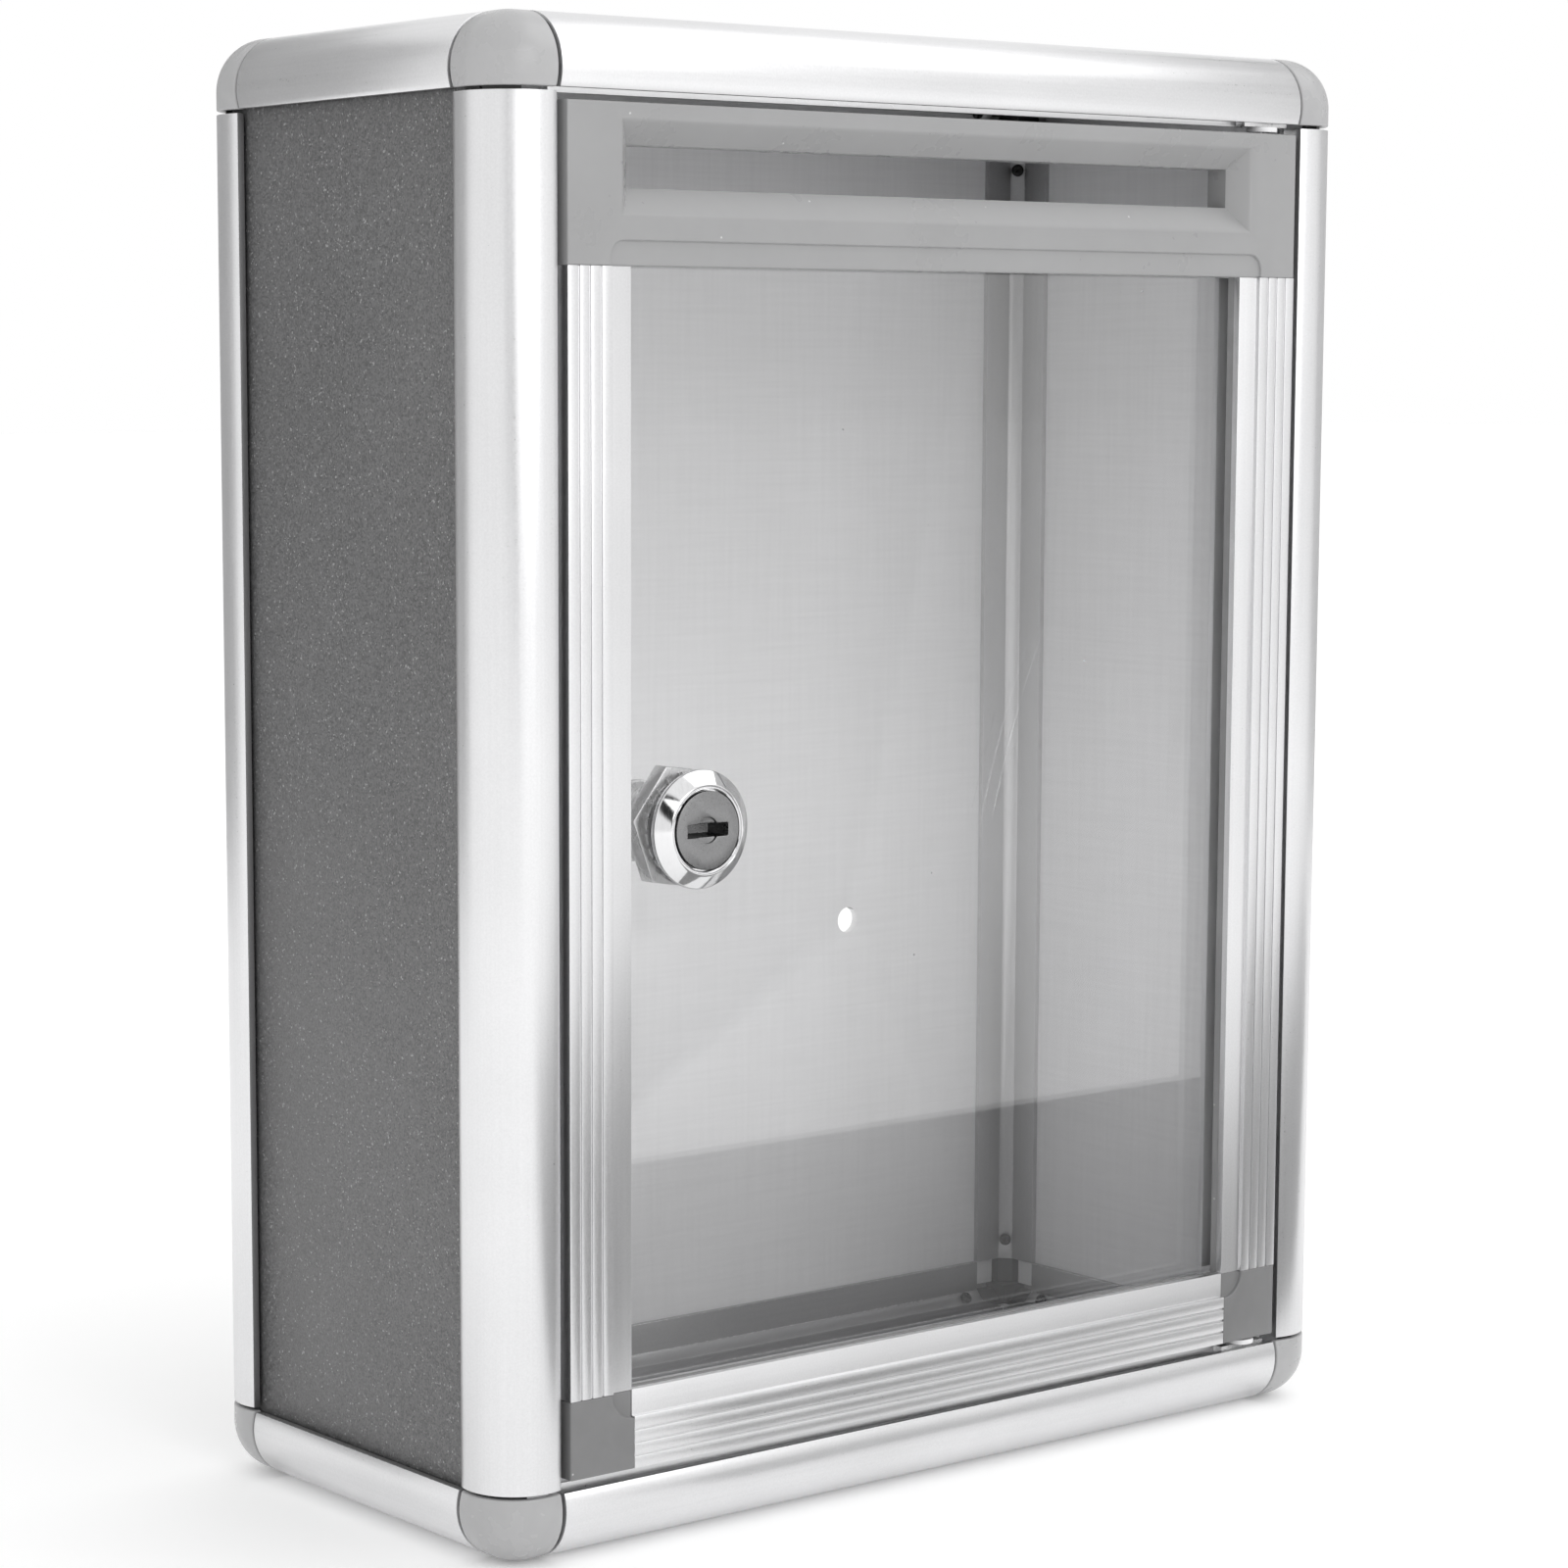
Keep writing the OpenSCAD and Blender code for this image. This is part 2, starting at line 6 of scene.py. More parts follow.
import bmesh
import bpy
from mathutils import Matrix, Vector

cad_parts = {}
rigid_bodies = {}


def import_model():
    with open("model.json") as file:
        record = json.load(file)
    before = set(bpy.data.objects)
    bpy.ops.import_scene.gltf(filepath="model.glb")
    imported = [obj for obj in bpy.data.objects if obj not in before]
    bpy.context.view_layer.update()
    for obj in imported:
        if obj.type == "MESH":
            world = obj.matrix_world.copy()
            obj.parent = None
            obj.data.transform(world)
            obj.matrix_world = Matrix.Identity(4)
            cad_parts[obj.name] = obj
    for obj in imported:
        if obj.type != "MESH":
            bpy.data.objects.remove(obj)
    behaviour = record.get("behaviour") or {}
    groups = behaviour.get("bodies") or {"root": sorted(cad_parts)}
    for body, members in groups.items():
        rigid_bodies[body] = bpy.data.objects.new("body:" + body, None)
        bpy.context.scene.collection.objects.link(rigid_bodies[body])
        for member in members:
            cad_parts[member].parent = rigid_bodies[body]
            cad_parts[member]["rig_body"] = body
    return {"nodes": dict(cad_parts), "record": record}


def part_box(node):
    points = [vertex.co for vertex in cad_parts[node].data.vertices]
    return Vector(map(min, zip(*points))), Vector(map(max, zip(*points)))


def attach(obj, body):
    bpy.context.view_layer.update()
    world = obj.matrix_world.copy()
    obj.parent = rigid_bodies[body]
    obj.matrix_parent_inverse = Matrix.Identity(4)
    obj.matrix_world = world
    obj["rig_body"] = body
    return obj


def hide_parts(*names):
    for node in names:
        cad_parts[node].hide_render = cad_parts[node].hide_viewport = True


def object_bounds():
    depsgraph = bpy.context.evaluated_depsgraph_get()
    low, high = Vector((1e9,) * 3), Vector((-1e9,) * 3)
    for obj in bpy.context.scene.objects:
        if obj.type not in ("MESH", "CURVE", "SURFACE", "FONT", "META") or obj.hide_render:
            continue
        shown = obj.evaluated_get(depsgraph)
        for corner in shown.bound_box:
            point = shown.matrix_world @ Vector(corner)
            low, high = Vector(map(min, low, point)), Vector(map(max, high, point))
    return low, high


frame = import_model()
cad_bounds = [list(corner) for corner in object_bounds()]

MM = 0.001
NODES = frame["nodes"]
BODY = {name: piece["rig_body"] for name, piece in NODES.items()}
SLOT = {part["node"]: part["material_slot"] for part in frame["record"]["subparts"]}


# ---------------------------------------------------------------- studio

def camera():
    """A long lens, left of the box and a little above its middle."""
    data = bpy.data.cameras.new("camera")
    data.sensor_width = 36
    data.lens = 90.94
    data.shift_x, data.shift_y = 0.125, 0.0625
    eye = bpy.data.objects.new("camera", data)
    eye.location = (-0.5062, -0.6000, 0.2128)
    eye.rotation_euler = (math.radians(90 - 7.324), math.radians(0.114), math.radians(-37.247))
    bpy.context.scene.collection.objects.link(eye)
    bpy.context.scene.camera = eye


def soft_light(name, place, target, width, height, radiance):
    """A rectangular softbox at place, facing target, of that radiance."""
    data = bpy.data.lights.new(name, "AREA")
    data.shape = "RECTANGLE"
    data.size, data.size_y = width, height
    data.energy = radiance * math.pi * width * height
    lamp = bpy.data.objects.new(name, data)
    lamp.location = place
    lamp.rotation_euler = (Vector(target) - Vector(place)).to_track_quat("-Z", "Y").to_euler()
    lamp.visible_camera = False
    bpy.context.scene.collection.objects.link(lamp)


def studio_walls():
    """White light from all round, but for a tall black flag beside the camera, which the chrome picks up."""
    world = bpy.data.worlds.new("studio")
    bpy.context.scene.world = world
    world.use_nodes = True
    tree = world.node_tree
    tree.nodes.clear()
    aim = add(tree, "ShaderNodeTexCoord").outputs["Generated"]
    middle, squash, edge, core, shade = Vector((-0.375, -0.822, 0.430)), 0.55, 0.965, 0.98, 0.03
    flat = add(tree, "ShaderNodeVectorMath", {0: aim, 1: (1, 1, squash)}, operation="MULTIPLY").outputs[0]
    unit = add(tree, "ShaderNodeVectorMath", {0: flat}, operation="NORMALIZE").outputs[0]
    middle.z *= squash
    facing = add(tree, "ShaderNodeVectorMath", {0: unit, 1: middle.normalized()},
                 operation="DOT_PRODUCT").outputs["Value"]
    level = add(tree, "ShaderNodeMapRange", {"Value": facing, "From Min": edge, "From Max": core,
                "To Min": 1.0, "To Max": shade}, interpolation_type="SMOOTHSTEP").outputs["Result"]
    glow = add(tree, "ShaderNodeBackground", {"Color": (1, 1, 1, 1), "Strength": level})
    add(tree, "ShaderNodeOutputWorld", {"Surface": glow.outputs["Background"]})


def pale_floor():
    """White paper, a hair below the box and bright enough to have no horizon."""
    mesh = bpy.data.meshes.new("floor")
    reach = 12.0
    mesh.from_pydata([(-reach, -reach, 0), (reach, -reach, 0), (reach, reach, 0), (-reach, reach, 0)],
                     [], [(0, 1, 2, 3)])
    floor = bpy.data.objects.new("floor", mesh)
    floor.location.z = -0.0002
    bpy.context.scene.collection.objects.link(floor)
    paper, shade = new_finish("pale_paper")
    set_inputs(shade, {"Base Color": (0.93, 0.93, 0.93, 1), "Roughness": 0.9,
                       "Emission Color": (1, 1, 1, 1), "Emission Strength": 0.13})
    mesh.materials.append(paper)


def card(name, corners, level):
    """A card that only reflections show, for the metal and the pane to mirror."""
    mesh = bpy.data.meshes.new(name)
    mesh.from_pydata(corners, [], [(0, 1, 2, 3)])
    piece = bpy.data.objects.new(name, mesh)
    bpy.context.scene.collection.objects.link(piece)
    felt, shade = new_finish(name)
    set_inputs(shade, {"Base Color": (level, level, level, 1), "Roughness": 1.0})
    mesh.materials.append(felt)
    piece.visible_camera = piece.visible_diffuse = piece.visible_shadow = piece.visible_transmission = False


def cards():
    """One on the floor before the door, and two that stand behind the box, to its left and its right."""
    near, far, left, right, lift = -0.075, -0.318, -0.045, 0.60, 0.0005
    card("floor_card", [(left, near, lift), (left, far, lift), (right, far, lift), (right, near, lift)], 0.30)
    foot, height = 0.001, 0.95
    for name, start, stop, level in (("left_card", (-0.86, 0.62), (0.42, 1.02), 0.37),
                                     ("right_card", (1.02, 0.62), (1.06, -0.42), 0.52)):
        card(name, [(*start, foot), (*stop, foot), (*stop, height), (*start, height)], level)


# ---------------------------------------------------------------- finishes

def set_inputs(node, values):
    """Links each input that is given a socket, and sets each that is given a value."""
    for key, value in values.items():
        if isinstance(value, bpy.types.NodeSocket):
            node.id_data.links.new(value, node.inputs[key])
        else:
            node.inputs[key].default_value = value


def add(tree, kind, inputs=None, **settings):
    """A new node with those settings and inputs."""
    node = tree.nodes.new(kind)
    for key, value in settings.items():
        setattr(node, key, value)
    set_inputs(node, inputs or {})
    return node


def new_finish(name):
    """A new material and its main shader."""
    material = bpy.data.materials.new(name)
    material.use_nodes = True
    return material, material.node_tree.nodes["Principled BSDF"]


def maths(tree, kind, *values):
    """One sum of up to three values, in a material's tree or a geometry tree."""
    return add(tree, "ShaderNodeMath", dict(enumerate(values)), operation=kind).outputs[0]


def place(tree, stretch=(1, 1, 1), centre=(0, 0, 0)):
    """Object coordinates, centred on a point and stretched along an axis."""
    coords = add(tree, "ShaderNodeTexCoord").outputs["Object"]
    moved = add(tree, "ShaderNodeVectorMath", {0: coords, 1: centre}, operation="SUBTRACT").outputs[0]
    return add(tree, "ShaderNodeVectorMath", {0: moved, 1: stretch}, operation="MULTIPLY").outputs[0]


def noise(tree, where, per_metre, detail=2.0):
    """Soft noise with that many features to the metre."""
    cloud = add(tree, "ShaderNodeTexNoise", {"Vector": where, "Scale": per_metre, "Detail": detail})
    return cloud.outputs["Fac"]


def spread(tree, value, low, high, start=0.3, stop=0.7):
    """Maps start..stop of a value onto low..high."""
    return add(tree, "ShaderNodeMapRange", {"Value": value, "From Min": start, "From Max": stop,
               "To Min": low, "To Max": high}).outputs["Result"]


def grey(tree, value, dark, light, start=0.3, stop=0.7):
    """A grey between dark and light, a little cool."""
    level = spread(tree, value, 0, 1, start, stop)
    mix = add(tree, "ShaderNodeMix", {"Factor": level, "A": (dark, dark, dark * 1.01, 1),
              "B": (light, light, light * 1.01, 1)}, data_type="RGBA")
    return mix.outputs["Result"]


def blend(tree, a, b, share=0.5):
    """A mix of two values, with that share of the second."""
    return add(tree, "ShaderNodeMix", {"Factor": share, "A": a, "B": b}, data_type="FLOAT").outputs["Result"]


def relief(tree, height, depth, strength=1.0):
    """A bump of that depth."""
    bump = add(tree, "ShaderNodeBump", {"Height": height, "Distance": depth, "Strength": strength})
    return bump.outputs["Normal"]


def satin_aluminium(name, run, dark=0.71, light=0.81, rough=(0.27, 0.40)):
    """Anodised extrusion: a fine blasted grain and faint die lines along the axis that it runs."""
    finish, shade = new_finish(name)
    tree = finish.node_tree
    grain = noise(tree, place(tree), 2400, 3)
    lines = noise(tree, place(tree, [0.012 if axis == run else 1 for axis in "xyz"]), 1500, 2)
    clouds = noise(tree, place(tree), 38, 2)
    both = blend(tree, grain, lines, 0.35)
    set_inputs(shade, {
        "Metallic": 1.0,
        "Base Color": grey(tree, blend(tree, both, clouds, 0.3), dark, light),
        "Roughness": spread(tree, both, *rough),
        "Normal": relief(tree, both, 0.03 * MM, 0.35)})
    return finish


def cut_aluminium():
    """The bare metal of a worn or cut edge."""
    finish, shade = new_finish("cut_aluminium")
    tree = finish.node_tree
    nicks = noise(tree, place(tree), 900, 4)
    set_inputs(shade, {"Metallic": 1.0, "Base Color": grey(tree, nicks, 0.72, 0.92),
                       "Roughness": spread(tree, nicks, 0.18, 0.34),
                       "Normal": relief(tree, nicks, 0.05 * MM, 0.4)})
    return finish


def sparkle_grey():
    """The panels' outer face: dark grey lacquer full of fine metal flakes."""
    finish, shade = new_finish("sparkle_grey")
    tree = finish.node_tree
    cells = add(tree, "ShaderNodeTexVoronoi", {"Vector": place(tree), "Scale": 2500.0}).outputs["Color"]
    flake = add(tree, "ShaderNodeSeparateColor", {"Color": cells}).outputs["Red"]
    fine = noise(tree, place(tree), 3000, 2)
    clouds = noise(tree, place(tree), 30, 3)
    lacquer = grey(tree, blend(tree, blend(tree, flake, fine, 0.55), clouds, 0.15), 0.08, 0.21, 0.2, 0.8)
    glint = add(tree, "ShaderNodeMix", {"Factor": spread(tree, flake, 0.0, 1.0, 0.965, 0.985), "A": lacquer,
                "B": (0.32, 0.32, 0.32, 1)}, data_type="RGBA")
    set_inputs(shade, {
        "Metallic": 0.35,
        "Base Color": glint.outputs["Result"],
        "Roughness": spread(tree, flake, 0.38, 0.58, 0.0, 1.0),
        "Normal": relief(tree, flake, 0.03 * MM, 0.5)})
    return finish


def smooth_grey():
    """The panels' inner face: plain silver grey with a faint rolled grain."""
    finish, shade = new_finish("smooth_grey")
    tree = finish.node_tree
    rolled = noise(tree, place(tree, (0.03, 0.03, 1)), 1400, 2)
    drawn = noise(tree, place(tree, (1, 1, 0.03)), 1100, 2)
    clouds = noise(tree, place(tree), 16, 3)
    set_inputs(shade, {
        "Metallic": 0.05,
        "Base Color": grey(tree, blend(tree, blend(tree, rolled, drawn), clouds, 0.3), 0.78, 0.88),
        "Roughness": spread(tree, clouds, 0.34, 0.46),
        "Normal": relief(tree, blend(tree, rolled, drawn), 0.02 * MM, 0.08)})
    return finish


def moulded(name, dark, light, rough, peel=0.12):
    """Injection-moulded plastic: slight orange peel, soft handling marks and specks of pale dust."""
    finish, shade = new_finish(name)
    tree = finish.node_tree
    skin = noise(tree, place(tree), 320, 2)
    marks = noise(tree, place(tree), 55, 5)
    dots = add(tree, "ShaderNodeTexVoronoi", {"Vector": place(tree), "Scale": 300.0}).outputs
    pick = add(tree, "ShaderNodeSeparateColor", {"Color": dots["Color"]}).outputs["Red"]
    near_dot = spread(tree, dots["Distance"], 1.0, 0.0, 0.03, 0.08)
    dust = maths(tree, "MULTIPLY", near_dot, spread(tree, pick, 0.0, 0.8, 0.86, 0.88))
    body = grey(tree, blend(tree, marks, skin, 0.3), dark, light)
    dusty = add(tree, "ShaderNodeMix", {"Factor": dust, "A": body, "B": (0.7, 0.7, 0.7, 1)}, data_type="RGBA")
    set_inputs(shade, {
        "Base Color": dusty.outputs["Result"],
        "Roughness": spread(tree, blend(tree, marks, skin, 0.3), *rough),
        "Normal": relief(tree, skin, 0.06 * MM, peel)})
    return finish


def bright_metal(name, dark, light, rough, per_metre=700):
    """Plated metal with soft smudges and hairline scratches."""
    finish, shade = new_finish(name)
    tree = finish.node_tree
    smudge = noise(tree, place(tree), per_metre / 4, 3)
    hairs = noise(tree, place(tree, (1, 1, 0.06)), per_metre * 3, 3)
    both = blend(tree, smudge, hairs, 0.45)
    set_inputs(shade, {
        "Metallic": 1.0,
        "Base Color": grey(tree, both, dark, light),
        "Roughness": spread(tree, both, *rough),
        "Normal": relief(tree, both, 0.02 * MM, 0.25)})
    return finish


def turned_metal(name, centre, dark, light, rough):
    """Metal faced on a lathe: fine rings round an axis that runs front to back."""
    finish, shade = new_finish(name)
    tree = finish.node_tree
    outward = place(tree, (1, 0, 1), centre)
    radius = add(tree, "ShaderNodeVectorMath", {0: outward}, operation="LENGTH").outputs["Value"]
    pitch = 0.16 * MM
    rings = maths(tree, "SINE", maths(tree, "MULTIPLY", radius, 2 * math.pi / pitch))
    grain = noise(tree, place(tree), 1800, 3)
    height = blend(tree, spread(tree, rings, 0, 1, -1, 1), grain, 0.5)
    set_inputs(shade, {
        "Metallic": 1.0,
        "Base Color": grey(tree, height, dark, light, 0.2, 0.8),
        "Roughness": spread(tree, grain, *rough),
        "Normal": relief(tree, height, 0.02 * MM, 0.3)})
    return finish


def scratch(tree, foot, lean, bow, height):
    """1 along a hairline that starts at foot (x, z) in mm, leans and bows to the right and then ends."""
    thin, wide, fade = 0.04, 0.22, 6
    here = add(tree, "ShaderNodeSeparateXYZ", {"Vector": place(tree)})
    up = maths(tree, "MULTIPLY_ADD", here.outputs["Z"], 1 / MM, -foot[1])
    slope = maths(tree, "MULTIPLY_ADD", up, bow, lean)
    line = maths(tree, "MULTIPLY_ADD", up, slope, foot[0])
    across = maths(tree, "MULTIPLY", here.outputs["X"], 1 / MM)
    off = maths(tree, "ABSOLUTE", maths(tree, "SUBTRACT", across, line))
    from_middle = maths(tree, "ABSOLUTE", maths(tree, "SUBTRACT", up, height / 2))
    near = spread(tree, off, 1.0, 0.0, thin, wide)
    inside = spread(tree, from_middle, 1.0, 0.0, height / 2 - fade, height / 2)
    broken = spread(tree, noise(tree, place(tree), 90, 3), 0.15, 1.0, 0.4, 0.55)
    return maths(tree, "MULTIPLY", maths(tree, "MULTIPLY", near, inside), broken)


def clear_pane():
    """Polished acrylic: a mirror only as strong as its gloss, with dust, and a hairline scratch."""
    finish, shade = new_finish("clear_acrylic")
    tree = finish.node_tree
    facing = add(tree, "ShaderNodeLayerWeight", {"Blend": 0.5}).outputs["Facing"]
    gloss = spread(tree, maths(tree, "POWER", facing, 5.0), 0.09, 1.0, 0.0, 1.0)
    dust = spread(tree, noise(tree, place(tree), 520, 1), 0.0, 0.45, 0.84, 0.88)
    haze = spread(tree, noise(tree, place(tree, (1, 1, 0.3)), 26, 4), 0.0, 0.02, 0.45, 0.75)
    hairline = scratch(tree, (13.9, 125.6), 0.24, 0.003, 39)
    marks = maths(tree, "ADD", dust, maths(tree, "MULTIPLY_ADD", hairline, 0.25, haze))
    seen = add(tree, "ShaderNodeMath", {0: gloss, 1: marks}, operation="ADD", use_clamp=True).outputs[0]
    set_inputs(shade, {
        "Metallic": 1.0,
        "Base Color": grey(tree, marks, 1.0, 0.85, 0.0, 0.3),
        "Roughness": spread(tree, marks, 0.015, 0.5, 0.01, 0.3),
        "Alpha": seen})
    return finish


LOCK_CENTRE = (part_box("lock_housing")[0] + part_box("lock_housing")[1]) / 2
CUT = cut_aluminium()
FINISH = {
    "core_plastic": moulded("black_plastic", 0.018, 0.030, (0.32, 0.5)),
    "cap_plastic": moulded("cap_grey", 0.37, 0.42, (0.20, 0.34)),
    "corner_plastic": moulded("corner_grey", 0.17, 0.20, (0.30, 0.42)),
    "moulding_plastic": moulded("moulding_grey", 0.295, 0.315, (0.26, 0.31)),
    "gasket_rubber": moulded("gasket_grey", 0.22, 0.28, (0.55, 0.7), 0.5),
    # A lighter grey for the door's lip behind the pane: painted light where that channel lies in shade.
    "painted_light_lip": moulded("lip_painted_light_grey", 0.42, 0.48, (0.5, 0.65)),
    "washer_nylon": moulded("white_nylon", 0.72, 0.80, (0.35, 0.5)),
    "black_steel": bright_metal("black_oxide", 0.02, 0.05, (0.3, 0.5)),
    "bright_steel": bright_metal("bright_zinc", 0.55, 0.7, (0.18, 0.34)),
    "lock_chrome": bright_metal("chrome", 0.72, 0.80, (0.04, 0.13)),
    "lock_zinc": bright_metal("nickel_on_zinc", 0.50, 0.62, (0.24, 0.34), 1400),
    "cam_steel": bright_metal("zinc_sheet", 0.48, 0.6, (0.25, 0.4)),
    "plug_zinc": turned_metal("satin_nickel", LOCK_CENTRE, 0.22, 0.30, (0.24, 0.38)),
    "clear_acrylic": clear_pane(),
}
PROFILE = {axis: satin_aluminium("anodised_" + axis, axis) for axis in "xyz"}
# The copy for faces that look into the box: rougher, and darker in colour as painted shade.
SHADED_INSIDE_PROFILE = {axis: satin_aluminium("dull_and_shaded_" + axis, axis, 0.44, 0.53, (0.36, 0.46)) for axis in "xyz"}
OUTSIDE, INSIDE = sparkle_grey(), smooth_grey()


# ---------------------------------------------------------------- pieces

def welded(node):
    """A closed copy of a CAD node's mesh, with its flat faces joined up."""
    form = bmesh.new()
    form.from_mesh(NODES[node].data)
    bmesh.ops.remove_doubles(form, verts=form.verts, dist=0.002 * MM)
    bmesh.ops.dissolve_limit(form, angle_limit=math.radians(0.4), verts=form.verts, edges=form.edges)
    mesh = bpy.data.meshes.new(node)
    form.to_mesh(mesh)
    form.free()
    if "custom_normal" in mesh.attributes:
        mesh.attributes.remove(mesh.attributes["custom_normal"])
    mesh.materials.clear()
    return mesh


def plain_mesh(piece, sharp=32):
    """Turns a piece with its modifiers into a plain mesh, smooth where it bends gently."""
    evaluated = piece.evaluated_get(bpy.context.evaluated_depsgraph_get())
    mesh = bpy.data.meshes.new_from_object(evaluated)
    piece.modifiers.clear()
    piece.data = mesh
    mesh.polygons.foreach_set("use_smooth", [True] * len(mesh.polygons))
    mesh.set_sharp_from_angle(angle=math.radians(sharp))


def kept(piece, *nodes):
    """Puts a finished piece in the place of one or more CAD nodes of one body."""
    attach(piece, BODY[nodes[0]])
    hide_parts(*nodes)


def finished(node, edge, finishes, steps=2, angle=32, sharp=32):
    """A CAD node with its edges broken by a small round, as tools and moulds leave them."""
    mesh = welded(node)
    piece = bpy.data.objects.new("finished_" + node, mesh)
    bpy.context.scene.collection.objects.link(piece)
    for finish in finishes:
        mesh.materials.append(finish)
    rounding = piece.modifiers.new("edges", "BEVEL")
    rounding.width = edge
    rounding.segments = steps
    rounding.limit_method = "ANGLE"
    rounding.angle_limit = math.radians(angle)
    rounding.use_clamp_overlap = True
    if len(finishes) == 2:
        rounding.material = 1
    plain_mesh(piece, sharp)
    kept(piece, node)
    return piece


def size_tree(name, sizes, materials=("Material",)):
    """An empty geometry tree with a named input for each size and each material."""
    tree = bpy.data.node_groups.new(name, "GeometryNodeTree")
    tree.is_modifier = True
    tree.interface.new_socket("Geometry", in_out="INPUT", socket_type="NodeSocketGeometry")
    for size in sizes:
        tree.interface.new_socket(size, in_out="INPUT", socket_type="NodeSocketFloat")
    for material in materials:
        tree.interface.new_socket(material, in_out="INPUT", socket_type="NodeSocketMaterial")
    tree.interface.new_socket("Geometry", in_out="OUTPUT", socket_type="NodeSocketGeometry")
    return tree, tree.nodes.new("NodeGroupInput").outputs


def close_tree(tree, geometry, material):
    """Ends a geometry tree: real faces, in one material."""
    real = add(tree, "GeometryNodeRealizeInstances", {"Geometry": geometry}).outputs[0]
    dressed = add(tree, "GeometryNodeSetMaterial", {"Geometry": real, "Material": material}).outputs[0]
    tree.nodes.new("NodeGroupOutput")
    set_inputs(tree.nodes[-1], {0: dressed})


def grown(name, tree, mesh, values, sharp=32):
    """The plain mesh that a geometry tree grows from a mesh, with those sizes."""
    piece = bpy.data.objects.new(name, mesh)
    bpy.context.scene.collection.objects.link(piece)
    growth = piece.modifiers.new("growth", "NODES")
    growth.node_group = tree
    for item in tree.interface.items_tree:
        if item.in_out == "INPUT" and item.name in values:
            growth[item.identifier] = values[item.name]
    plain_mesh(piece, sharp)
    return piece


def combined(tree, x=0.0, y=0.0, z=0.0):
    """A vector from its three parts."""
    return add(tree, "ShaderNodeCombineXYZ", {"X": x, "Y": y, "Z": z}).outputs[0]


def moved(tree, geometry, offset, turn=(0, 0, 0)):
    """That geometry, turned and then moved."""
    return add(tree, "GeometryNodeTransform", {"Geometry": geometry, "Translation": offset,
               "Rotation": turn}).outputs[0]


def joined(tree, *parts):
    """Those geometries as one, in the order they are given."""
    join = tree.nodes.new("GeometryNodeJoinGeometry")
    for part in reversed(parts):
        tree.links.new(part, join.inputs[0])
    return join.outputs[0]


def screw_tree():
    """Pan-head screws with a cross recess, one on each point, facing along the point's own arrow."""
    tree, size = size_tree("pan_head_screws", ["Head radius", "Head height", "Shank radius", "Shank length",
                                               "Recess width"])
    flat = maths(tree, "MULTIPLY", size["Head height"], 0.55)
    dome = maths(tree, "MULTIPLY", size["Head height"], 0.45)
    crown = maths(tree, "MULTIPLY", size["Head radius"], 0.66)
    disc = add(tree, "GeometryNodeMeshCylinder", {"Vertices": 28, "Radius": size["Head radius"],
               "Depth": flat})
    disc = moved(tree, disc.outputs[0], combined(tree, z=maths(tree, "MULTIPLY", flat, 0.5)))
    top = add(tree, "GeometryNodeMeshCone", {"Vertices": 28, "Side Segments": 1, "Radius Top": crown,
              "Radius Bottom": size["Head radius"], "Depth": dome})
    top = moved(tree, top.outputs[0], combined(tree, z=flat))
    head = add(tree, "GeometryNodeMeshBoolean", {1: disc}, operation="UNION")
    tree.links.new(top, head.inputs[1])
    wide = maths(tree, "MULTIPLY", size["Head radius"], 1.15)
    bars = []
    for across, along in ((wide, size["Recess width"]), (size["Recess width"], wide)):
        bar = add(tree, "GeometryNodeMeshCube", {"Size": combined(tree, across, along, size["Head height"])})
        bars.append(moved(tree, bar.outputs[0], combined(tree, z=size["Head height"])))
    cut = add(tree, "GeometryNodeMeshBoolean", {0: head.outputs[0], 1: bars[0]}, operation="DIFFERENCE")
    tree.links.new(bars[1], cut.inputs[1])
    shank = add(tree, "GeometryNodeMeshCylinder", {"Vertices": 20, "Radius": size["Shank radius"],
                "Depth": size["Shank length"]})
    sunk = maths(tree, "MULTIPLY", size["Shank length"], -0.5)
    shank = moved(tree, shank.outputs[0], combined(tree, z=sunk))
    arrow = add(tree, "GeometryNodeInputNamedAttribute", {"Name": "facing"}, data_type="FLOAT_VECTOR")
    turn = add(tree, "FunctionNodeAlignRotationToVector", {"Vector": arrow.outputs[0]}, axis="Z")
    points = add(tree, "GeometryNodeMeshToPoints", {"Mesh": size["Geometry"]})
    screws = add(tree, "GeometryNodeInstanceOnPoints", {"Points": points.outputs[0],
                 "Instance": joined(tree, cut.outputs[0], shank), "Rotation": turn.outputs[0]})
    close_tree(tree, screws.outputs[0], size["Material"])
    return tree


def frame_screws():
    """One screw near each end of every profile, square to its slanted inner strip."""
    low, high = (Vector(corner) for corner in cad_bounds)
    centre, half = (low + high) / 2, (high - low) / 2
    from_end, strip = 18.6 * MM, 9.44 * MM
    places, arrows = [], []
    for run in range(3):
        sides = [axis for axis in range(3) if axis != run]
        for a in (-1, 1):
            for b in (-1, 1):
                for end in (-1, 1):
                    arrow = Vector((0, 0, 0))
                    arrow[sides[0]], arrow[sides[1]] = -a, -b
                    arrow.normalize()
                    spot = centre + strip * arrow
                    spot[run] += end * (half[run] - from_end)
                    spot[sides[0]] += a * half[sides[0]]
                    spot[sides[1]] += b * half[sides[1]]
                    places.append(spot)
                    arrows.append(arrow)
    mesh = bpy.data.meshes.new("screw_places")
    mesh.from_pydata(places, [], [])
    facing = mesh.attributes.new("facing", "FLOAT_VECTOR", "POINT")
    facing.data.foreach_set("vector", [value for arrow in arrows for value in arrow])
    kept(grown("frame_screw_set", screw_tree(), mesh, {
        "Head radius": 1.3 * MM, "Head height": 0.9 * MM, "Shank radius": 0.8 * MM, "Shank length": 3.5 * MM,
        "Recess width": 0.32 * MM, "Material": FINISH["black_steel"]}), "frame_screws")


